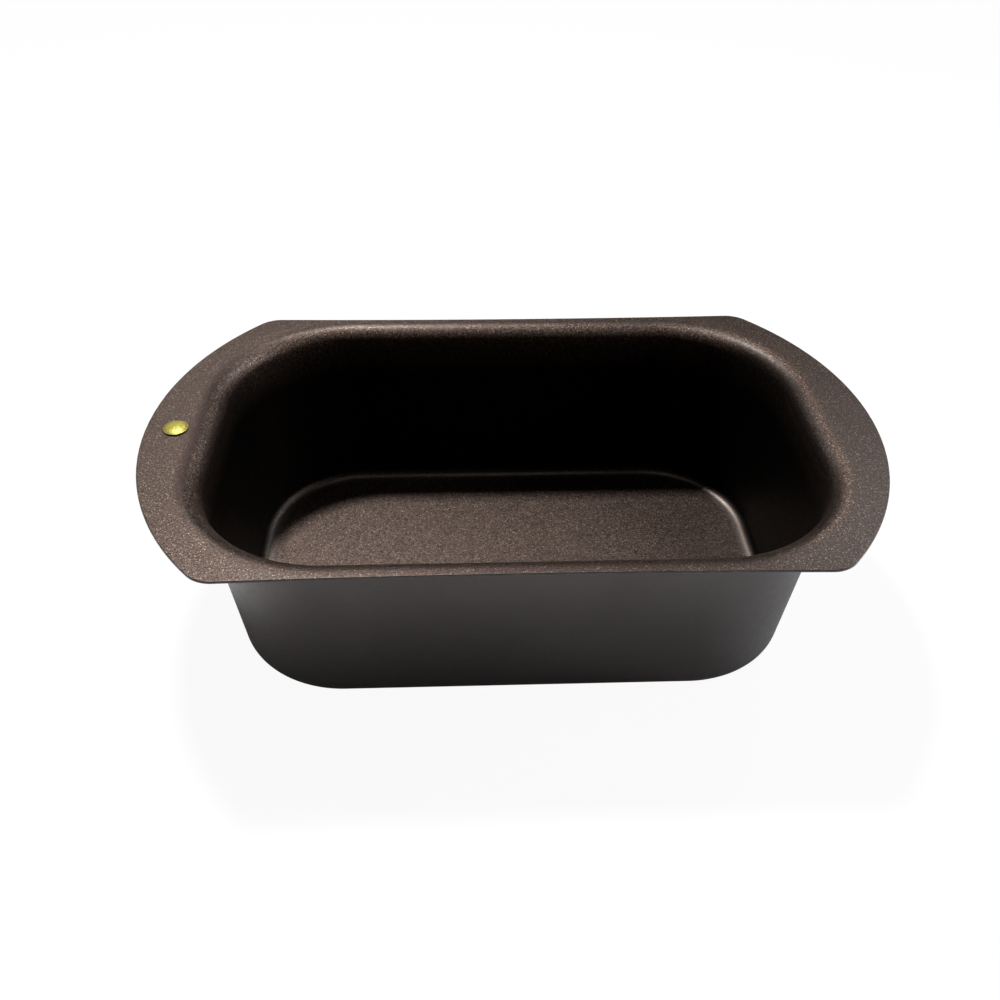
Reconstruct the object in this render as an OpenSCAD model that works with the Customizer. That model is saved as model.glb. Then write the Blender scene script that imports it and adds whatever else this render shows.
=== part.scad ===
// Loaf pan: one pressed sheet with a wing at each end, and a small brass button riveted to the left wing.
// Origin: middle of the pan's flat bottom. +X runs along the length, +Y across it, +Z up. Millimetres.
// Every level of the trough is a rounded rectangle around the same four corner axes, so one profile,
// swept along the sides and turned round the corners, makes the whole trough.

/* [Pan] */
// Overall length across both wings
pan_length = 270; // [262:1:300]
// Overall width across the two long edges
pan_width = 160.5; // [159:0.5:180]
// Height from the table to the top of the flange
pan_height = 73.5; // [50:0.5:80]
// Thickness of the coated sheet
sheet_t = 1; // [0.6:0.1:1.4]

/* [Trough] */
// Length of the bottom, where the walls' outer faces would meet the table
base_length = 210; // [196:1:212]
// Width of the bottom, where the walls' outer faces would meet the table
base_width = 129; // [110:1:130]
// Plan radius of the bottom's four corners
corner_r = 42; // [32:1:54]
// Lean of every wall from upright, in degrees
draft = 5.44; // [2:0.02:6]
// Outer radius of the bend between floor and wall
heel_r = 5; // [3:0.5:8]
// Radius over the top of the bend between wall and flange
rim_r = 6.5; // [4:0.5:7]

/* [Wings] */
// Plan radius of each wing's outer edge
wing_r = 111.3; // [104:0.1:125]
// Plan radius between a wing's edge and a long edge
tip_r = 11.25; // [6:0.05:16]
// How far each long edge bows in at its middle
edge_bow = 1.2; // [0.4:0.1:1.6]

/* [Button] */
// Distance of the rivet from the middle of the pan
button_x = 123.8; // [122:0.1:126]
// Diameter of the domed cap
cap_d = 9; // [8:0.1:10]
// Rise of the cap's dome above its edge
cap_rise = 0.7; // [0.4:0.1:1]
// Height of the cap's upright edge
cap_edge_h = 0.7; // [0.6:0.1:1]
// Thickness of the cap's brass
cap_t = 0.25; // [0.2:0.05:0.3]
// Diameter of the rivet's shank
shank_d = 3.2; // [2.4:0.1:3.6]
// Outer diameter of the backing washer
washer_d = 7; // [6:0.5:8]
// Thickness of the backing washer
washer_t = 0.5; // [0.3:0.1:0.8]

/* [Hidden] */

// Faces of a fine round and of a small round
big_fn = 360;
small_fn = 96;

// How far cutting shapes run past what they cut
past = 1;

// Corner axes of the trough
axis_x = base_length / 2 - corner_r;
axis_y = base_width / 2 - corner_r;
// Distance from the corner axes to where the flange turns flat
flat_s = corner_r + pan_height * tan(draft) - sheet_t / cos(draft) + rim_r * tan((90 - draft) / 2);
// Straight length of the wall, between the rim bend and the heel bend
wall_len = (pan_height - rim_r - heel_r + (rim_r + heel_r - sheet_t) * sin(draft)) / cos(draft);
// Distance from the corner axes to the middle of the heel bend
heel_s = flat_s - (rim_r + heel_r - sheet_t) * cos(draft) - wall_len * sin(draft);
// Width of flat flange that the swept profile carries, so that it laps into the flange plate
lap = 1;
// Distance from the corner axes to the mouth of the flange plate, about the middle of that lap
mouth_s = round(10 * (flat_s + lap / 2)) / 10;

// Middle of each wing's arc, and middles of the four tip arcs
wing_x = pan_length / 2 - wing_r;
tip_y = pan_width / 2 - tip_r;
tip_x = wing_x + sqrt(pow(wing_r - tip_r, 2) - pow(tip_y, 2));
// The upper tip's middle as seen from the middle of the wing's arc; the two arcs meet on this line
tip_from_wing = [tip_x - wing_x, tip_y];
// Radius of the long edges' shallow bow
bow_r = (pow(tip_x, 2) + pow(edge_bow, 2)) / (2 * edge_bow);

// Heights and radii round the button
flange_under = pan_height - sheet_t;
washer_under = flange_under - washer_t;
shank_r = shank_d / 2;
hole_r = shank_r + 0.05;
cap_r = cap_d / 2;
hem_r = cap_r - 1.2;
// The rivet's head lies inside the cap, on its turned-in hem
head_r = cap_r - cap_t - 0.05;
head_under = pan_height + cap_t;
head_t = 0.3;
// The shank's hollow end, and the bead that its wall is rolled into
hollow_r = shank_r - 0.45;
hollow_h = 1.2;
bead_r = 0.55;
bead_s = hollow_r + bead_r;

// Radius of a dome with the given rise over a disc of radius r
function dome_r(r, rise) = (r * r + rise * rise) / (2 * rise);

// Flat ring
module ring(outer, inner) {
  difference() {
    circle(r = outer, $fn = small_fn);
    circle(r = inner, $fn = small_fn);
  }
}

// Rim bend about its own middle: from straight up round to the wall's direction
module rim_bend() {
  intersection() {
    ring(rim_r, rim_r - sheet_t);
    translate([-2 * rim_r, -rim_r]) square([2 * rim_r, 3 * rim_r]);
    rotate(-draft) translate([-2 * rim_r, 0]) square([4 * rim_r, 2 * rim_r]);
  }
}

// Heel bend about its own middle, in the wall's tilted frame
module heel_bend() {
  intersection() {
    ring(heel_r, heel_r - sheet_t);
    translate([0, -2 * heel_r]) square([2 * heel_r, 2 * heel_r]);
    rotate(draft) translate([0, -2 * heel_r]) square([2 * heel_r, 4 * heel_r]);
  }
}

// The sheet cut through a wall: x is the distance out from the corner axes, y is the height.
// It is chained down from the rim, each bend and straight in the frame of the one before, and the
// floor is cut off square at the given distance in from the axes.
module sheet_profile(floor_in) {
  intersection() {
    translate([flat_s, pan_height - rim_r]) {
      translate([0, rim_r - sheet_t]) square([lap, sheet_t]);
      rim_bend();
      rotate(-draft) {
        translate([-rim_r, -wall_len]) square([sheet_t, wall_len]);
        translate([sheet_t - rim_r - heel_r, -wall_len]) {
          heel_bend();
          rotate(draft) translate([-heel_s - axis_y - past, -heel_r]) square([heel_s + axis_y + past, sheet_t]);
        }
      }
    }
    translate([-floor_in, -past]) square([floor_in + corner_r + pan_height, pan_height + 2 * past]);
  }
}

// One corner of the trough, turned a quarter round its axis
module corner() {
  translate([axis_x, axis_y, 0]) rotate_extrude(angle = 90, $fn = big_fn) sheet_profile(0);
}

// One long side, with its half of the floor between the corner axes
module long_side() {
  translate([-axis_x, axis_y, 0])
    rotate([90, 0, 90])
      linear_extrude(2 * axis_x) sheet_profile(axis_y);
}

// One end wall
module end_side() {
  translate([axis_x, axis_y, 0])
    rotate([90, 0, 0])
      linear_extrude(2 * axis_y) sheet_profile(0);
}

// The trough: four corners, two long sides and two ends
module trough() {
  for (side = [0, 1]) {
    mirror([0, side, 0]) long_side();
    mirror([side, 0, 0]) end_side();
    for (end = [0, 1]) mirror([0, side, 0]) mirror([end, 0, 0]) corner();
  }
}

// Mouth cut through the flange plate: two crossed rectangles and a quarter disc at each corner
module mouth_outline() {
  square([2 * axis_x, 2 * (axis_y + mouth_s)], center = true);
  square([2 * (axis_x + mouth_s), 2 * axis_y], center = true);
  for (side = [0, 1], end = [0, 1])
    mirror([0, side]) mirror([end, 0])
      translate([axis_x, axis_y])
        intersection() {
          circle(r = mouth_s, $fn = big_fn);
          square(2 * mouth_s);
        }
}

// Pie slice of a wing, out to its edge and between the lines through the two tip arcs' middles
module wing_slice() {
  translate([wing_x, 0])
    intersection() {
      circle(r = wing_r, $fn = big_fn);
      polygon([
        [0, 0],
        2 * [tip_from_wing.x, -tip_from_wing.y],
        [2 * wing_r, 0],
        2 * tip_from_wing
      ]);
    }
}

// Outer edge of the flange: two wings, four rounded tips and two bowed long edges
module flange_outline() {
  difference() {
    union() {
      square([2 * tip_x, pan_width], center = true);
      for (end = [0, 1]) mirror([end, 0]) wing_slice();
      for (x = [-tip_x, tip_x], y = [-tip_y, tip_y]) translate([x, y]) circle(r = tip_r, $fn = big_fn);
    }
    for (y = [-1, 1]) {
      translate([0, y * (pan_width / 2 - edge_bow + bow_r)]) circle(r = bow_r, $fn = 4 * big_fn);
    }
  }
}

// Flat plate of the flange, with the trough's mouth and the rivet's hole cut out
module flange_plate() {
  translate([0, 0, flange_under])
    linear_extrude(sheet_t)
      difference() {
        flange_outline();
        mouth_outline();
      }
}

module pan_shell() {
  color([0.24, 0.19, 0.17])
    difference() {
      union() {
        trough();
        flange_plate();
      }
      translate([-button_x, 0, flange_under - past])
        cylinder(r = hole_r, h = sheet_t + 2 * past, $fn = small_fn);
    }
}

// Solid with a flat bottom, an upright edge and a domed top
module domed_disc(r, edge_h, rise) {
  intersection() {
    cylinder(r = r, h = edge_h + rise, $fn = small_fn);
    translate([0, 0, edge_h + rise - dome_r(r, rise)])
      sphere(r = dome_r(r, rise), $fn = 4 * small_fn);
  }
}

// Thin domed cap, open below inside its turned-in hem
module badge_cap() {
  color([0.80, 0.62, 0.22])
    translate([-button_x, 0, pan_height])
      difference() {
        domed_disc(cap_r, cap_edge_h, cap_rise);
        translate([0, 0, cap_t]) domed_disc(cap_r - cap_t, cap_edge_h - cap_t, cap_rise - cap_t);
        translate([0, 0, -past]) cylinder(r = hem_r, h = cap_t + past + head_t, $fn = small_fn);
      }
}

// Rivet cut through its axis: flat head, shank, and the hollow end rolled out under the washer
module rivet_profile() {
  translate([0, head_under]) square([head_r, head_t]);
  difference() {
    union() {
      translate([0, washer_under]) square([shank_r, head_under - washer_under]);
      translate([0, washer_under - bead_r]) square([bead_s, bead_r]);
      translate([bead_s, washer_under - bead_r]) circle(r = bead_r, $fn = small_fn);
    }
    translate([0, washer_under - bead_r - past]) square([hollow_r, bead_r + past + hollow_h]);
  }
}

module badge_rivet() {
  color([0.72, 0.58, 0.28])
    translate([-button_x, 0, 0]) rotate_extrude($fn = small_fn) rivet_profile();
}

// Flat ring under the flange that spreads the rivet's grip
module badge_washer() {
  color([0.74, 0.60, 0.30])
    translate([-button_x, 0, washer_under])
      difference() {
        cylinder(r = washer_d / 2, h = washer_t, $fn = small_fn);
        translate([0, 0, -past]) cylinder(r = hole_r, h = washer_t + 2 * past, $fn = small_fn);
      }
}

pan_shell();
badge_cap();
badge_rivet();
badge_washer();
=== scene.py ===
import math
import random

import bpy
from mathutils import Matrix, Vector


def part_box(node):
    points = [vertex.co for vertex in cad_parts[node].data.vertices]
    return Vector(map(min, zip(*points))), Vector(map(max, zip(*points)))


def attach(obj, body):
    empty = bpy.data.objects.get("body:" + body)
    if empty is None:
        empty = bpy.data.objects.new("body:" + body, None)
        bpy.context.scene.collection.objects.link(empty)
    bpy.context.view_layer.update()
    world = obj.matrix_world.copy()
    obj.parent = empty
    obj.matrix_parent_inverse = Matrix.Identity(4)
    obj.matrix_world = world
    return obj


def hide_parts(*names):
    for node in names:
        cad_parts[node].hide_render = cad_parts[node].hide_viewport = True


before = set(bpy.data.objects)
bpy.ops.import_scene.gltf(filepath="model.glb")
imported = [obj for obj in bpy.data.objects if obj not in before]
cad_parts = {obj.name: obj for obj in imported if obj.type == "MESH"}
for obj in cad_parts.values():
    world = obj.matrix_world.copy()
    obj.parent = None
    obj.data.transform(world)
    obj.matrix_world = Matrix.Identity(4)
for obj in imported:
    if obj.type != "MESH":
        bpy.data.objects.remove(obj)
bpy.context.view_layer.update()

# ---------------------------------------------------------------- sizes
# Millimetres, in the CAD frame: origin at the middle of the pan's flat bottom, +X along its length,
# +Y away from the camera, +Z up. The overall sizes come from the frame, the rest repeat the CAD's.
MM = 0.001

shell_low, shell_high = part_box("pan_shell")
PAN_LENGTH = (shell_high.x - shell_low.x) / MM
PAN_WIDTH = (shell_high.y - shell_low.y) / MM
PAN_HEIGHT = shell_high.z / MM

SHEET_T = 1.0
BASE_LENGTH = 210.0
BASE_WIDTH = 129.0
CORNER_R = 42.0
DRAFT = math.radians(5.44)
HEEL_R = 5.0
RIM_R = 6.5
WING_R = 111.3
TIP_R = 11.25
EDGE_BOW = 1.2
# Rounding of the flange's cut edge
EDGE_ROUND = 0.35

cap_low, cap_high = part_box("badge_cap")
BUTTON_X = (cap_low.x + cap_high.x) / 2 / MM
BUTTON_Y = (cap_low.y + cap_high.y) / 2 / MM
CAP_R = (cap_high.x - cap_low.x) / 2 / MM
CAP_RISE = 0.7
CAP_EDGE_H = 0.7
CAP_T = 0.25
HEM_R = CAP_R - 1.2
HEAD_R = CAP_R - CAP_T - 0.05
HEAD_T = 0.3
SHANK_R = 1.6
HOLLOW_R = SHANK_R - 0.45
HOLLOW_H = 1.2
BEAD_R = 0.55
HOLE_R = 1.65
WASHER_R = 3.5
WASHER_T = 0.5

# Worked out from the sizes above
AXIS_X = BASE_LENGTH / 2 - CORNER_R
AXIS_Y = BASE_WIDTH / 2 - CORNER_R
FLAT_S = (
    CORNER_R + PAN_HEIGHT * math.tan(DRAFT) - SHEET_T / math.cos(DRAFT)
    + RIM_R * math.tan((math.pi / 2 - DRAFT) / 2)
)
BENDS = RIM_R + HEEL_R - SHEET_T
WALL_LEN = (PAN_HEIGHT - RIM_R - HEEL_R + BENDS * math.sin(DRAFT)) / math.cos(DRAFT)
HEEL_S = FLAT_S - BENDS * math.cos(DRAFT) - WALL_LEN * math.sin(DRAFT)
WING_X = PAN_LENGTH / 2 - WING_R
TIP_Y = PAN_WIDTH / 2 - TIP_R
TIP_X = WING_X + math.sqrt((WING_R - TIP_R) ** 2 - TIP_Y ** 2)
TIP_ANGLE = math.atan2(TIP_Y, TIP_X - WING_X)
BOW_R = (TIP_X ** 2 + EDGE_BOW ** 2) / (2 * EDGE_BOW)
FLANGE_UNDER = PAN_HEIGHT - SHEET_T
WASHER_UNDER = FLANGE_UNDER - WASHER_T

# The studio: the camera's angles in degrees, its place and its lens; the floor's radius, its drop below
# the pan so that no two faces coincide, how far it is lifted towards white near the pan, and the
# distances over which the rest of the way to the backdrop's white is made up
CAMERA_TURN, CAMERA_RISE, CAMERA_ROLL = -2.59, 39.79, 0.737
CAMERA_PLACE = (-17.91, -292.3, PAN_HEIGHT + 207.4)
SENSOR_WIDTH = 36
LENS = 34.74
FLOOR_R = 6000.0
FLOOR_DROP = 0.02
FLOOR_LIFT = 0.94
FLOOR_FADE = (350.0, 1500.0)


# ---------------------------------------------------------------- mesh helpers
def spread(start, end, count):
    """count evenly spaced values after start, the last one at end."""
    return [start + (end - start) * (i + 1) / count for i in range(count)]


def make_object(name, points, faces, face_slots=None, materials=()):
    """A mesh object from points in millimetres, with smooth faces."""
    mesh = bpy.data.meshes.new(name)
    mesh.from_pydata([tuple(c * MM for c in p) for p in points], [], faces)
    for material in materials:
        mesh.materials.append(material)
    mesh.validate()
    mesh.polygons.foreach_set("use_smooth", [True] * len(mesh.polygons))
    if face_slots:
        mesh.polygons.foreach_set("material_index", face_slots)
    obj = bpy.data.objects.new(name, mesh)
    bpy.context.collection.objects.link(obj)
    return obj


def apply_modifiers(obj):
    """Writes the object's evaluated mesh back into it and drops its modifiers."""
    depsgraph = bpy.context.evaluated_depsgraph_get()
    mesh = bpy.data.meshes.new_from_object(obj.evaluated_get(depsgraph))
    obj.modifiers.clear()
    obj.data = mesh


# ---------------------------------------------------------------- the pan's flange outline
def long_edge_y(x):
    """Distance of the long edge from the middle line at x: a shallow bow inwards."""
    return PAN_WIDTH / 2 - EDGE_BOW + BOW_R - math.sqrt(BOW_R ** 2 - x ** 2)


def corner_outline():
    """The flange's edge round one corner, from the long side's end to the end side's start:
    a list of (x, y, edge normal's angle)."""
    points = []
    square_on = math.pi / 2
    long_steps, tip_steps, wing_steps = 15, 12, 26
    tip_start = math.atan2(PAN_WIDTH / 2 - AXIS_Y, TIP_X - AXIS_X)
    for angle in spread(square_on, tip_start, long_steps)[:-1]:
        x = AXIS_X + (PAN_WIDTH / 2 - AXIS_Y) / math.tan(angle)
        points.append((x, long_edge_y(x), square_on))
    for angle in [square_on] + spread(square_on, TIP_ANGLE, tip_steps):
        points.append((TIP_X + TIP_R * math.cos(angle), TIP_Y + TIP_R * math.sin(angle), angle))
    wing_end = math.asin(AXIS_Y / WING_R)
    for angle in spread(TIP_ANGLE, wing_end, wing_steps)[:-1]:
        points.append((WING_X + WING_R * math.cos(angle), WING_R * math.sin(angle), angle))
    return points


def corner_columns():
    """The columns that fan out from the right-hand back corner's axis, anticlockwise."""
    fan = []
    for x, y, normal in corner_outline():
        reach = math.hypot(x - AXIS_X, y - AXIS_Y)
        out = ((x - AXIS_X) / reach, (y - AXIS_Y) / reach)
        fan.append((AXIS_X, AXIS_Y, *out, x, y, math.cos(normal), math.sin(normal)))
    return fan[::-1]


def end_column(y):
    """A column across the right-hand end wall."""
    angle = math.asin(y / WING_R)
    across, along = math.sin(angle), math.cos(angle)
    return (AXIS_X, y, 1, 0, WING_X + WING_R * along, y, along, across)


def long_column(x):
    """A column across the back wall."""
    return (x, AXIS_Y, 0, 1, x, long_edge_y(x), 0, 1)


def columns():
    """Every column of the pan, anticlockwise: (core x, core y, out x, out y, edge x, edge y, normal x,
    normal y). The core is where the column starts on the rectangle of corner axes."""
    end_steps, long_steps = 4, 12
    corner = corner_columns()
    half = [end_column(AXIS_Y * i / end_steps) for i in range(-end_steps, end_steps + 1)] + corner
    half += [long_column(AXIS_X * (1 - i / long_steps)) for i in range(2 * long_steps + 1)]
    half += [tuple(-v if i % 2 == 0 else v for i, v in enumerate(c)) for c in reversed(corner)]
    return half + [tuple(-v for v in c) for c in half]


# ---------------------------------------------------------------- the pan's section
# The pan's two material slots
INSIDE, OUTSIDE = 0, 1

# Rings across the floor, and steps round the heel's bend, up the wall and over the rim's bend
FLOOR_RINGS = (0.0, 12.0, 22.0, 30.0)
HEEL_STEPS, WALL_STEPS, RIM_STEPS = 10, 14, 14

# Rings across the flange, as shares of its width in each column, and steps round its cut edge
FLANGE_SHARES = (0.06, 0.3, 0.55, 0.8, 0.94)
EDGE_STEPS = 4


def bend(centre_s, centre_z, radius, start, end, count):
    """Points along an arc of the section, after its start."""
    return [
        (centre_s + radius * math.cos(a), centre_z + radius * math.sin(a))
        for a in spread(math.radians(start), math.radians(end), count)
    ]


def straight(a, b, count):
    """Points along a straight stretch of the section after a, packed a little closer at its ends."""
    fractions = [0.5 - 0.5 * math.cos(math.pi * (i + 1) / count) for i in range(count)]
    return [(a[0] + (b[0] - a[0]) * f, a[1] + (b[1] - a[1]) * f) for f in fractions]


def trough_side(outer):
    """The section's points from the corner axis out to where the flange turns flat."""
    rim_radius = RIM_R - (SHEET_T if outer else 0)
    heel_radius = HEEL_R - (0 if outer else SHEET_T)
    floor_z = 0 if outer else SHEET_T
    lean = math.degrees(DRAFT)
    points = [(s, floor_z) for s in (*FLOOR_RINGS, HEEL_S - 1.0, HEEL_S)]
    points += bend(HEEL_S, HEEL_R, heel_radius, -90, -lean, HEEL_STEPS)
    rim = bend(FLAT_S, PAN_HEIGHT - RIM_R, rim_radius, 180 - lean, 90, RIM_STEPS)
    wall_top = (
        FLAT_S - rim_radius * math.cos(DRAFT),
        PAN_HEIGHT - RIM_R + rim_radius * math.sin(DRAFT),
    )
    points += straight(points[-1], wall_top, WALL_STEPS)
    return points + rim


def shell_rings(column):
    """One column's points in two runs, inside and outside, each from the floor to the cut edge."""
    core_x, core_y, out_x, out_y, edge_x, edge_y, normal_x, normal_y = column

    def at(s, z):
        return (core_x + out_x * s, core_y + out_y * s, z)

    def flange(share, z):
        near = at(FLAT_S, z)
        far = (edge_x - normal_x * EDGE_ROUND, edge_y - normal_y * EDGE_ROUND)
        return (near[0] + (far[0] - near[0]) * share, near[1] + (far[1] - near[1]) * share, z)

    def edge(angle, z_middle):
        inset = EDGE_ROUND * (1 - math.cos(angle))
        z = z_middle + EDGE_ROUND * math.sin(angle)
        return (edge_x - normal_x * inset, edge_y - normal_y * inset, z)

    quarter_turn = [math.pi / 2 * i / EDGE_STEPS for i in range(EDGE_STEPS, -1, -1)]
    inner = [at(s, z) for s, z in trough_side(False)]
    inner += [flange(f, PAN_HEIGHT) for f in FLANGE_SHARES]
    inner += [edge(a, PAN_HEIGHT - EDGE_ROUND) for a in quarter_turn]
    outer = [at(s, z) for s, z in trough_side(True)]
    outer += [flange(f, FLANGE_UNDER) for f in FLANGE_SHARES]
    outer += [edge(-a, FLANGE_UNDER + EDGE_ROUND) for a in quarter_turn]
    return inner, outer


class Skin:
    """Collects a mesh's points and faces; points at the same place are shared."""

    def __init__(self):
        self.points = []
        self.faces = []
        self.slots = []
        self.places = {}

    def index(self, point):
        key = tuple(round(v, 5) for v in point)
        if key not in self.places:
            self.places[key] = len(self.points)
            self.points.append(point)
        return self.places[key]

    def add(self, corners, slot, flip=False):
        """A face through the corners, which are left out where they meet; flip turns it over."""
        indices = [self.index(corner) for corner in corners]
        if flip:
            indices.reverse()
        unique = [v for i, v in enumerate(indices) if v != indices[i - 1]]
        if len(unique) > 2:
            self.faces.append(unique)
            self.slots.append(slot)


def add_walls(skin, rings):
    """Everything outside the rectangle of corner axes: floor, walls, flange and cut edge. The cut edge
    has the outside's coat."""
    last = len(rings[0][0]) - 1
    edge_start = last - EDGE_STEPS + 1
    for here, there in zip(rings, rings[1:] + rings[:1]):
        for side in (INSIDE, OUTSIDE):
            for r in range(last):
                slot = OUTSIDE if side == OUTSIDE or r >= edge_start else INSIDE
                quad = [here[side][r], there[side][r], there[side][r + 1], here[side][r + 1]]
                skin.add(quad, slot, flip=side == INSIDE)
        cut_edge = [here[OUTSIDE][last], there[OUTSIDE][last], there[INSIDE][last], here[INSIDE][last]]
        skin.add(cut_edge, OUTSIDE)


def add_floor(skin, xs, ys):
    """The floor inside the rectangle of corner axes, above and below."""
    for z, slot in ((SHEET_T, INSIDE), (0.0, OUTSIDE)):
        for x, next_x in zip(xs, xs[1:]):
            for y, next_y in zip(ys, ys[1:]):
                quad = [(x, y, z), (next_x, y, z), (next_x, next_y, z), (x, next_y, z)]
                skin.add(quad, slot, flip=slot == OUTSIDE)


def cut_rivet_hole(shell):
    """Cuts the rivet's hole through the left wing, and evens the shading."""
    past = 1
    high, low = PAN_HEIGHT + past, FLANGE_UNDER - past
    cutter = lathe("hole_cutter", [(0, high), (HOLE_R, high), (HOLE_R, low), (0, low)], 64)
    hole = shell.modifiers.new("rivet_hole", "BOOLEAN")
    hole.operation = "DIFFERENCE"
    hole.solver = "EXACT"
    hole.object = cutter
    shell.modifiers.new("even_shading", "WEIGHTED_NORMAL").keep_sharp = True
    apply_modifiers(shell)
    bpy.data.objects.remove(cutter)


def build_shell():
    """The pressed pan as one closed mesh. Its materials are in the mesh before the hole is cut, because
    the cut keeps the slots of the faces only then."""
    all_columns = columns()
    skin = Skin()
    add_walls(skin, [shell_rings(c) for c in all_columns])
    xs, ys = (sorted({round(c[axis], 6) for c in all_columns}) for axis in (0, 1))
    add_floor(skin, xs, ys)
    shell = make_object("pan", skin.points, skin.faces, skin.slots, (coat_inside(), coat_outside()))
    cut_rivet_hole(shell)
    return shell


# ---------------------------------------------------------------- the button
def lathe(name, section, turns, shape=None):
    """A closed solid turned about the button's axis. section runs down the outside from the axis or in
    a loop; shape, if given, moves each point: shape(x, y, z, i) returns the new z. The first point of a
    ring is half a step round, so that none meets the pan's row of points along the middle line."""
    points, faces, rings = [], [], []
    for i, (r, z) in enumerate(section):
        if r == 0:
            points.append((BUTTON_X, BUTTON_Y, z))
            rings.append([len(points) - 1] * turns)
            continue
        ring = []
        for k in range(turns):
            a = 2 * math.pi * (k + 0.5) / turns
            x, y = r * math.cos(a), r * math.sin(a)
            points.append((BUTTON_X + x, BUTTON_Y + y, shape(x, y, z, i) if shape else z))
            ring.append(len(points) - 1)
        rings.append(ring)
    pairs = list(zip(rings, rings[1:]))
    if section[0][0] != 0:
        pairs.append((rings[-1], rings[0]))
    for upper, lower in pairs:
        for k in range(turns):
            n = (k + 1) % turns
            quad = [upper[k], lower[k], lower[n], upper[n]]
            unique = [v for j, v in enumerate(quad) if v != quad[j - 1]]
            if len(unique) > 2:
                faces.append(unique)
    return make_object(name, points, faces)


def dome_section(radius, rise, base_z, rings):
    """Points down a dome, from its top to its edge."""
    ball = (radius * radius + rise * rise) / (2 * rise)
    half = math.asin(radius / ball)
    return [
        (ball * math.sin(half * i / rings), base_z + rise - ball * (1 - math.cos(half * i / rings)))
        for i in range(rings + 1)
    ]


def hammer_marks(count, reach, seed):
    """Centres, radii and depths of shallow round dimples scattered over a disc, overlapping a little."""
    rng = random.Random(seed)
    most_tries, apart = 4000, 0.62
    radii, depths = (0.42, 0.62), (0.03, 0.052)
    marks = []
    tries = 0
    while len(marks) < count and tries < most_tries:
        tries += 1
        r, a = reach * math.sqrt(rng.random()), rng.uniform(0, 2 * math.pi)
        mark = (r * math.cos(a), r * math.sin(a), rng.uniform(*radii), rng.uniform(*depths))
        if all(math.dist(mark[:2], m[:2]) > apart * (mark[2] + m[2]) for m in marks):
            marks.append(mark)
    return marks


def cap_section(dome_rings):
    """The cap's section: down its dome, over its shoulder, in along the hem and back up inside."""
    base = PAN_HEIGHT
    top = base + CAP_EDGE_H
    corner, ease = 0.2, 0.06
    shoulder, lift = 0.08, 0.03
    section = dome_section(CAP_R - shoulder, CAP_RISE - lift, top + lift, dome_rings)
    section += [(CAP_R - 0.02, top - ease), (CAP_R, top - corner), (CAP_R, base + corner)]
    section += [
        (CAP_R - corner + corner * math.cos(a), base + corner + corner * math.sin(a))
        for a in spread(0, -math.pi / 2, 5)
    ]
    section += [(HEM_R + ease, base), (HEM_R, base + ease)]
    section += [(HEM_R, base + CAP_T - ease), (HEM_R + ease, base + CAP_T), (CAP_R - CAP_T, base + CAP_T)]
    return section + dome_section(CAP_R - CAP_T, CAP_RISE - CAP_T, top, 12)[::-1]


def build_cap():
    """Thin domed cap with a hammered top, a groove near its rounded edge and a hem turned in below."""
    dome_rings = 40
    groove_r, groove_width, groove_depth = CAP_R - 0.55, 0.1, 0.05
    marks = hammer_marks(count=46, reach=CAP_R - 0.95, seed=7)

    def hammered(x, y, z, i):
        if i > dome_rings:
            return z
        depth = 0
        for mark_x, mark_y, radius, deep in marks:
            d = math.hypot(x - mark_x, y - mark_y) / radius
            if d < 1:
                depth = max(depth, deep * (1 - d * d) ** 2)
        groove = math.exp(-(((math.hypot(x, y) - groove_r) / groove_width) ** 2))
        return z - depth - groove_depth * groove

    return lathe("button_cap", cap_section(dome_rings), 144, hammered)


def build_rivet():
    """Flat head inside the cap, shank through the wing, and its hollow end rolled out below."""
    head_under = PAN_HEIGHT + CAP_T
    head_top = head_under + HEAD_T
    ease = 0.06
    bead_s = HOLLOW_R + BEAD_R
    section = [(0, head_top), (HEAD_R - ease, head_top), (HEAD_R, head_top - ease)]
    section += [(HEAD_R, head_under + ease), (HEAD_R - ease, head_under)]
    section += [(SHANK_R, head_under), (SHANK_R, WASHER_UNDER)]
    section += [
        (bead_s + BEAD_R * math.cos(a), WASHER_UNDER - BEAD_R + BEAD_R * math.sin(a))
        for a in [math.pi / 2] + spread(math.pi / 2, -math.pi, 20)
    ]
    hollow_top = WASHER_UNDER + HOLLOW_H
    section += [(HOLLOW_R, hollow_top - 0.1), (HOLLOW_R * 0.6, hollow_top), (0, hollow_top)]
    return lathe("button_rivet", section, 96)


def build_washer():
    """Flat ring with its edges eased."""
    low, high, ease = WASHER_UNDER, FLANGE_UNDER, 0.08
    section = [(HOLE_R + ease, high), (WASHER_R - ease, high), (WASHER_R, high - ease)]
    section += [(WASHER_R, low + ease), (WASHER_R - ease, low)]
    section += [(HOLE_R + ease, low), (HOLE_R, low + ease), (HOLE_R, high - ease)]
    return lathe("button_washer", section, 96)


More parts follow.
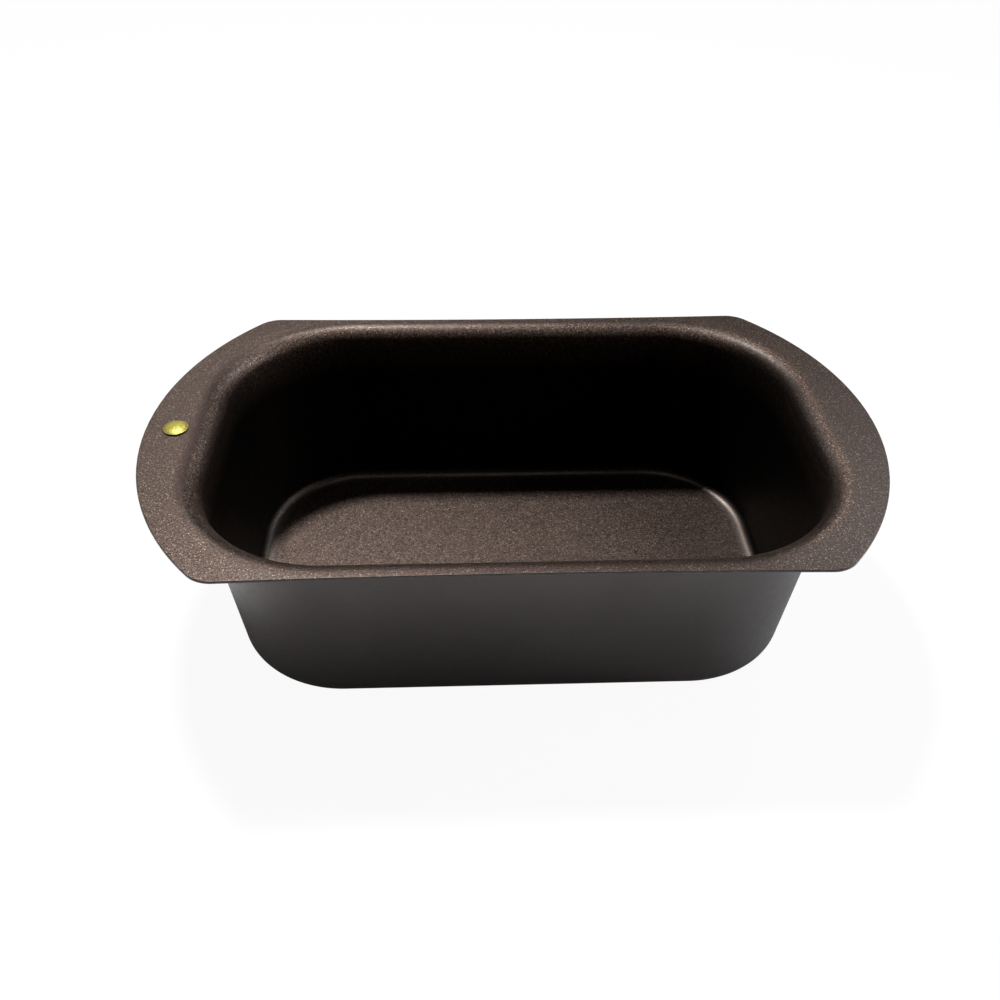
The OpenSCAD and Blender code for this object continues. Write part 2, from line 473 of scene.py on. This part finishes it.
# ---------------------------------------------------------------- materials
class Shader:
    """A small helper for wiring one material's nodes."""

    def __init__(self, name):
        self.material = bpy.data.materials.new(name)
        self.material.use_nodes = True
        self.nodes = self.material.node_tree.nodes
        self.links = self.material.node_tree.links
        self.nodes.clear()
        self.output = self.add("ShaderNodeOutputMaterial")
        self.surface = self.add("ShaderNodeBsdfPrincipled")
        self.link(self.surface.outputs["BSDF"], self.output.inputs["Surface"])
        self.place = self.add("ShaderNodeTexCoord").outputs["Object"]

    def add(self, kind, **settings):
        node = self.nodes.new(kind)
        for key, value in settings.items():
            setattr(node, key, value)
        return node

    def link(self, source, target):
        self.links.new(source, target)

    def set(self, **values):
        for key, value in values.items():
            self.surface.inputs[key.replace("_", " ")].default_value = value

    def noise(self, size_mm, detail=2.0, rough=0.5, distort=0.0):
        """Noise whose features are about size_mm across."""
        node = self.add("ShaderNodeTexNoise")
        node.inputs["Scale"].default_value = 1 / (size_mm * MM)
        node.inputs["Detail"].default_value = detail
        node.inputs["Roughness"].default_value = rough
        node.inputs["Distortion"].default_value = distort
        self.link(self.place, node.inputs["Vector"])
        return node.outputs["Fac"]

    def cells(self, size_mm):
        """Voronoi cells about size_mm across: (distance to the nearest middle, random colour)."""
        node = self.add("ShaderNodeTexVoronoi")
        node.inputs["Scale"].default_value = 1 / (size_mm * MM)
        self.link(self.place, node.inputs["Vector"])
        return node.outputs["Distance"], node.outputs["Color"]

    def ramp(self, source, stops):
        """Colour or grey ramp: stops are (position, value) with a value a grey or an (r, g, b)."""
        node = self.add("ShaderNodeValToRGB")
        band = node.color_ramp.elements
        while len(band) < len(stops):
            band.new(0.5)
        for element, (position, value) in zip(band, stops):
            element.position = position
            colour = value if isinstance(value, tuple) else (value,) * 3
            element.color = (*colour, 1)
        self.link(source, node.inputs["Fac"])
        return node.outputs["Color"]

    def math(self, operation, *values):
        """One Math node over sockets and numbers."""
        node = self.add("ShaderNodeMath", operation=operation)
        for socket, value in zip(node.inputs, values):
            if isinstance(value, (int, float)):
                socket.default_value = value
            else:
                self.link(value, socket)
        return node.outputs[0]

    def mix(self, factor, a, b, blend="MIX"):
        """Mixes two colours, each a socket or an (r, g, b)."""
        node = self.add("ShaderNodeMix", data_type="RGBA", blend_type=blend)
        for socket, value in ((node.inputs[0], factor), (node.inputs[6], a), (node.inputs[7], b)):
            if isinstance(value, tuple):
                socket.default_value = (*value, 1)
            elif isinstance(value, (int, float)):
                socket.default_value = value
            else:
                self.link(value, socket)
        return node.outputs[2]

    def tint(self, a, b):
        """Multiplies two colours."""
        return self.mix(1.0, a, b, "MULTIPLY")

    def position(self):
        """The point's x, y and z in millimetres."""
        parts = self.add("ShaderNodeSeparateXYZ")
        self.link(self.place, parts.inputs[0])
        return [self.math("DIVIDE", parts.outputs[axis], MM) for axis in "XYZ"]

    def length(self, x, y, z=0.0):
        """Length of the vector with these parts."""
        joined = self.add("ShaderNodeCombineXYZ")
        for socket, value in zip(joined.inputs, (x, y, z)):
            if isinstance(value, (int, float)):
                socket.default_value = value
            else:
                self.link(value, socket)
        node = self.add("ShaderNodeVectorMath", operation="LENGTH")
        self.link(joined.outputs[0], node.inputs[0])
        return node.outputs["Value"]

    def reach(self):
        """Distance out from the rectangle of the trough's corner axes, in millimetres."""
        x, y, _ = self.position()
        away_x = self.math("MAXIMUM", self.math("SUBTRACT", self.math("ABSOLUTE", x), AXIS_X), 0.0)
        away_y = self.math("MAXIMUM", self.math("SUBTRACT", self.math("ABSOLUTE", y), AXIS_Y), 0.0)
        return self.length(away_x, away_y)

    def band(self, value, stops):
        """A ramp over a length in millimetres: stops are (millimetres, grey or colour), in rising order."""
        low, high = stops[0][0], stops[-1][0]
        share = self.math("DIVIDE", self.math("SUBTRACT", value, low), high - low)
        return self.ramp(share, [((at - low) / (high - low), level) for at, level in stops])

    def bump(self, heights):
        """Chains bumps: heights are (height socket, depth in mm)."""
        normal = None
        for height, depth in heights:
            node = self.add("ShaderNodeBump")
            node.inputs["Distance"].default_value = depth * MM
            self.link(height, node.inputs["Height"])
            if normal:
                self.link(normal, node.inputs["Normal"])
            normal = node.outputs["Normal"]
        self.link(normal, self.surface.inputs["Normal"])


# How the coat is toned over the rim's bend with painted highlights and painted shade, along the back, the
# front, the left end and the right end.
# Each stop is (millimetres out from FLAT_S, half the factor): halves, because a ramp stops at 1.
DOUBLE = (2.0, 2.0, 2.0)
PAINTED_RIM_BACK = [
    (-14, 0.50), (-9, 0.66), (-5, 0.66), (-3.5, 0.57), (-2.7, 0.50), (-1.9, 0.35), (-1.1, 0.31),
    (-0.3, 0.41), (0.5, 0.53), (2.1, 0.62), (3.1, 0.62), (5, 0.53), (8, 0.50),
]
PAINTED_RIM_FRONT = [
    (-5, 0.50), (-2.8, 0.49), (-0.8, (0.29, 0.25, 0.24)), (0.8, (0.33, 0.29, 0.275)), (2.6, 0.50),
]
PAINTED_RIM_LEFT = [
    (-14, 0.50), (-5.1, (0.44, 0.41, 0.45)), (-4.3, (0.48, 0.49, 0.51)), (-3.5, (0.70, 0.73, 0.77)),
    (-2.7, (0.64, 0.66, 0.68)), (-1.9, (0.31, 0.28, 0.27)), (-1.1, (0.17, 0.12, 0.11)),
    (-0.3, (0.22, 0.16, 0.14)), (0.5, (0.295, 0.235, 0.22)), (1.3, (0.40, 0.36, 0.35)), (2.5, 0.50),
]
PAINTED_RIM_RIGHT = [
    (-16, 0.50), (-13, 0.28), (-7, 0.23), (-3.5, 0.21), (-2.7, 0.35), (-1.9, 0.58), (-1.1, 0.84),
    (-0.3, 0.98), (0.5, 0.72), (2.1, 0.58), (6, 0.53), (16, 0.50),
]


def painted_rim_light(m, reach):
    """A colour factor of painted highlights and painted shade for the coat over the rim's bend, blended from
    one side's stops to the next's.
    """
    x, y, _ = m.position()

    def side(stops):
        return m.band(reach, [(FLAT_S + away, level) for away, level in stops])

    tone = side(PAINTED_RIM_BACK)
    tone = m.mix(m.band(y, [(-72.0, 1.0), (-60.0, 0.0)]), tone, side(PAINTED_RIM_FRONT))
    tone = m.mix(m.band(x, [(-116.0, 1.0), (-104.0, 0.0)]), tone, side(PAINTED_RIM_LEFT))
    tone = m.mix(m.band(x, [(78.0, 0.0), (100.0, 1.0)]), tone, side(PAINTED_RIM_RIGHT))
    return m.tint(tone, DOUBLE)


def flecked_ground(m, grain):
    """Brown ground in soft patches, with dark grain and scattered pale metallic flecks."""
    patches = m.ramp(m.noise(45, 3, 0.5, 0.4), [(0.3, (0.031, 0.020, 0.0145)), (0.7, (0.040, 0.026, 0.020))])
    pale = m.ramp(grain, [(0.40, 0.0), (0.62, 1.0)])
    ground = m.mix(pale, (0.002, 0.0015, 0.001), (0.086, 0.055, 0.041))
    colour = m.mix(0.85, patches, ground)
    distance, pick = m.cells(0.62)
    chosen = m.add("ShaderNodeSeparateColor")
    m.link(pick, chosen.inputs["Color"])
    spot = m.ramp(distance, [(0.20, 1.0), (0.42, 0.0)])
    bright = m.ramp(chosen.outputs["Red"], [(0.62, 0.0), (0.98, 1.0)])
    return m.mix(m.math("MULTIPLY", spot, bright), colour, (0.235, 0.18, 0.15))


def coat_inside():
    """Satin brown-black non-stick coat, full of fine metallic flecks, with painted shade darkening the
    walls, painted highlights and shade over the rim's bend, and a painted highlight with lower roughness
    along the bend at the floor's edge."""
    m = Shader("coat_inside")
    _, _, height = m.position()
    reach = m.reach()
    grain = m.noise(0.65, 3, 0.75)
    # Painted shade and painted light by height: the walls are darkened to about a seventh, the floor is left
    # as it is and the inside of the rim's bend is brightened up to 1.7 times; the coat's weight follows the
    # same band.
    painted_light_by_height = m.band(height, [(0.0, 0.5), (1.4, 0.5), (3.8, 0.07), (54.0, 0.07), (64.0, 0.5),
                            (68.0, 0.85), (71.5, 0.85), (73.0, 0.5)])
    colour = m.tint(flecked_ground(m, grain), m.tint(painted_light_by_height, DOUBLE))
    # Painted highlights and painted shade over the rim's bend, different on each side of the pan.
    colour = m.tint(colour, painted_rim_light(m, reach))
    # Painted highlight along the heel's bend: the coat is lightened towards a pale brown there, and its
    # roughness is lowered.
    low = m.band(height, [(0.0, 1.0), (6.0, 1.0), (9.0, 0.0)])
    heel_highlight_band = m.band(reach, [(HEEL_S - 2.0, 0.0), (HEEL_S, 1.0), (HEEL_S + 1.8, 1.0), (HEEL_S + 3.6, 0.0)])
    heel = m.math("MULTIPLY", low, heel_highlight_band)
    colour = m.mix(m.math("MULTIPLY", heel, 0.42), colour, (0.13, 0.108, 0.094))
    m.link(colour, m.surface.inputs["Base Color"])
    rough = m.ramp(m.noise(1.4, 3), [(0.3, 0.47), (0.7, 0.57)])
    rough = m.math("SUBTRACT", rough, m.math("MULTIPLY", heel, 0.07))
    m.link(rough, m.surface.inputs["Roughness"])
    m.link(m.math("MULTIPLY", painted_light_by_height, 0.42), m.surface.inputs["Coat Weight"])
    m.set(Specular_IOR_Level=0.5, Metallic=0.92, Coat_Roughness=0.42)
    m.bump([(m.noise(3.0, 2), 0.02), (grain, 0.03)])
    return m.material


def coat_outside():
    """Smoother grey-brown coat of the outside, the flange's underside and its cut edge, with painted shade
    darkening it towards the floor, and darker in patches along the cut edge."""
    m = Shader("coat_outside")
    _, _, height = m.position()
    clouds = m.noise(38, 4, 0.55, 0.6)
    colour = m.ramp(clouds, [(0.3, (0.070, 0.060, 0.058)), (0.7, (0.083, 0.071, 0.070))])
    grain = m.noise(0.5, 2, 0.6)
    speckle = m.ramp(grain, [(0.35, (0.048, 0.041, 0.039)), (0.65, (0.107, 0.092, 0.089))])
    colour = m.mix(0.2, colour, speckle)
    # Painted shade: the outside is darkened towards the floor.
    colour = m.tint(colour, m.band(height, [(0.0, 0.7), (38.0, 0.85), (66.0, 1.0)]))
    # Darker in patches near the top: along the cut edge and the flange's underside.
    near_edge = m.band(height, [(0.0, 0.0), (PAN_HEIGHT - 1.3, 0.0), (PAN_HEIGHT - 0.9, 1.0)])
    edge_patches = m.ramp(m.noise(3.5, 3, 0.6), [(0.42, (0.55, 0.55, 0.55)), (0.68, (0.95, 0.92, 0.9))])
    colour = m.mix(near_edge, colour, m.tint(colour, edge_patches))
    m.link(colour, m.surface.inputs["Base Color"])
    m.link(m.ramp(m.noise(2.2, 3), [(0.3, 0.38), (0.7, 0.46)]), m.surface.inputs["Roughness"])
    m.set(Specular_IOR_Level=0.5, Metallic=0.3)
    m.bump([(m.noise(2.4, 3), 0.012), (grain, 0.004)])
    return m.material


def brass(name, dark, light):
    """Brass mottled between two colours, darker in a ring near the cap's edge."""
    m = Shader(name)
    colour = m.ramp(m.noise(1.1, 4, 0.6, 0.5), [(0.3, dark), (0.7, light)])
    speck = m.ramp(m.noise(0.35, 3, 0.6), [(0.35, 0.55), (0.58, 1.0)])
    colour = m.tint(colour, speck)
    x, y, _ = m.position()
    radius = m.length(m.math("SUBTRACT", x, BUTTON_X), m.math("SUBTRACT", y, BUTTON_Y))
    # Darker in a ring near the cap's edge, deepest at its groove.
    edge_ring = m.band(radius, [(0.0, 1.0), (CAP_R - 1.1, 1.0), (CAP_R - 0.55, 0.6), (CAP_R - 0.15, 0.95)])
    colour = m.tint(colour, edge_ring)
    m.link(colour, m.surface.inputs["Base Color"])
    m.link(m.ramp(m.noise(0.5, 3), [(0.3, 0.33), (0.7, 0.45)]), m.surface.inputs["Roughness"])
    m.set(Metallic=0.42, Specular_IOR_Level=0.15)
    m.bump([(m.noise(0.25, 3), 0.008)])
    return m.material


def floor_white():
    """Pale grained floor. The camera sees it lifted towards white, the more the further it is; its
    bounce onto the pan is left as it is."""
    m = Shader("studio_floor")
    m.link(m.ramp(m.noise(6, 3), [(0.3, 0.80), (0.7, 0.83)]), m.surface.inputs["Base Color"])
    m.set(Roughness=0.9, Specular_IOR_Level=0.1)
    white = m.add("ShaderNodeEmission")
    white.inputs["Color"].default_value = (1, 1, 1, 1)
    rays = m.add("ShaderNodeLightPath")
    distance = m.length(*m.position())
    near, far = FLOOR_FADE
    whiten = m.band(distance, [(0.0, FLOOR_LIFT), (near, FLOOR_LIFT), (far, 1.0)])
    seen = m.add("ShaderNodeMixShader")
    m.link(m.math("MULTIPLY", rays.outputs["Is Camera Ray"], whiten), seen.inputs["Fac"])
    m.link(m.surface.outputs["BSDF"], seen.inputs[1])
    m.link(white.outputs["Emission"], seen.inputs[2])
    m.link(seen.outputs[0], m.output.inputs["Surface"])
    return m.material


# ---------------------------------------------------------------- camera, floor and light
def place_camera():
    """The photograph's viewpoint: in front of the pan, 40 degrees above it and a touch to its left."""
    turn, rise, roll = (math.radians(a) for a in (CAMERA_TURN, CAMERA_RISE, CAMERA_ROLL))
    forward = Vector((-math.sin(turn) * math.cos(rise), math.cos(turn) * math.cos(rise), -math.sin(rise)))
    right = Vector((math.cos(turn), math.sin(turn), 0))
    up = right.cross(forward)
    x_axis = right * math.cos(roll) + up * math.sin(roll)
    y_axis = up * math.cos(roll) - right * math.sin(roll)
    rotation = Matrix((x_axis, y_axis, -forward)).transposed()
    camera = bpy.data.objects.new("camera", bpy.data.cameras.new("camera"))
    bpy.context.collection.objects.link(camera)
    camera.matrix_world = Matrix.Translation(Vector(CAMERA_PLACE) * MM) @ rotation.to_4x4()
    camera.data.sensor_width = SENSOR_WIDTH
    camera.data.lens = LENS
    camera.data.clip_start = 0.01
    bpy.context.scene.camera = camera


def build_floor():
    """Plain pale floor under the pan."""
    spokes = 96
    turns = [2 * math.pi * k / spokes for k in range(spokes)]
    points = [(0, 0, -FLOOR_DROP)]
    points += [(FLOOR_R * math.cos(a), FLOOR_R * math.sin(a), -FLOOR_DROP) for a in turns]
    faces = [(0, k + 1, (k + 1) % spokes + 1) for k in range(spokes)]
    make_object("studio_floor", points, faces, materials=(floor_white(),))


def soft_box(name, aim, turn, height, distance, size, power, shape="SQUARE"):
    """An area light that faces aim from distance away. turn is its bearing from +X and height its angle
    above the floor, both in degrees. Lengths are in millimetres and power in watts."""
    data = bpy.data.lights.new(name, "AREA")
    data.shape = shape
    data.size = size * MM
    data.energy = power
    lamp = bpy.data.objects.new(name, data)
    bpy.context.collection.objects.link(lamp)
    t, h = math.radians(turn), math.radians(height)
    source = Vector((math.cos(h) * math.cos(t), math.cos(h) * math.sin(t), math.sin(h)))
    lamp.location = (Vector(aim) + source * distance) * MM
    lamp.rotation_mode = "QUATERNION"
    lamp.rotation_quaternion = source.to_track_quat("Z", "Y")
    return lamp


def low_card(name, turn, power):
    """A long low panel of light beside the pan, lower than its flange."""
    middle = (0, 0, PAN_HEIGHT / 2)
    card = soft_box(name, middle, turn, height=0, distance=420, size=500, power=power, shape="RECTANGLE")
    card.data.size_y = 60 * MM
    card.visible_camera = False


def light_scene():
    """A lamp above and behind the pan, to its left; a dim window behind its right wing; a little light
    from overhead and from the right; a strip that glints on the button; and a low card at each end."""
    middle, base, button = (0, 0, PAN_HEIGHT / 2), (0, 0, 0), (BUTTON_X, BUTTON_Y, PAN_HEIGHT)
    soft_box("key", middle, turn=117.5, height=64.7, distance=1100, size=125, power=18.0, shape="DISK")
    window = soft_box("window", base, turn=38, height=47, distance=900, size=230, power=2.9)
    window.data.color = (0.86, 0.94, 1.0)
    soft_box("ceiling", base, turn=-90, height=89, distance=1000, size=200, power=0.3)
    soft_box("side", base, turn=2, height=32, distance=900, size=160, power=1.5)
    strip = soft_box("strip", button, turn=107, height=26.7, distance=900, size=150, power=0.25)
    strip.data.shape = "RECTANGLE"
    strip.data.size_y = 70 * MM
    low_card("card_left", turn=-165, power=0.44)
    low_card("card_right", turn=-14, power=0.70)


def white_backdrop():
    """The world: white to the camera, and nearly black as a source of light."""
    world = bpy.data.worlds.new("studio")
    world.use_nodes = True
    nodes, links = world.node_tree.nodes, world.node_tree.links
    nodes.clear()
    output = nodes.new("ShaderNodeOutputWorld")
    backdrop = nodes.new("ShaderNodeBackground")
    rays = nodes.new("ShaderNodeLightPath")
    mix = nodes.new("ShaderNodeMix")
    mix.data_type = "RGBA"
    mix.inputs[6].default_value = (0.004, 0.004, 0.0045, 1)
    mix.inputs[7].default_value = (1, 1, 1, 1)
    links.new(rays.outputs["Is Camera Ray"], mix.inputs[0])
    links.new(mix.outputs[2], backdrop.inputs["Color"])
    links.new(backdrop.outputs["Background"], output.inputs["Surface"])
    bpy.context.scene.world = world
    bpy.context.scene.view_settings.view_transform = "Standard"


# ---------------------------------------------------------------- assembly
def finish_piece(piece, node, slot, *materials):
    """Gives a new piece its materials and body, and hides the CAD node it stands for; slot is not used."""
    for material in materials:
        piece.data.materials.append(material)
    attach(piece, "root")
    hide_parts(node)


place_camera()
bright_brass = brass("cap_brass", (0.29, 0.245, 0.045), (0.44, 0.375, 0.085))
dull_brass = brass("rivet_brass", (0.30, 0.22, 0.08), (0.44, 0.33, 0.14))
finish_piece(build_shell(), "pan_shell", "coated_steel")
finish_piece(build_cap(), "badge_cap", "cap_brass", bright_brass)
finish_piece(build_rivet(), "badge_rivet", "rivet_brass", dull_brass)
finish_piece(build_washer(), "badge_washer", "rivet_brass", dull_brass)
build_floor()
light_scene()
white_backdrop()
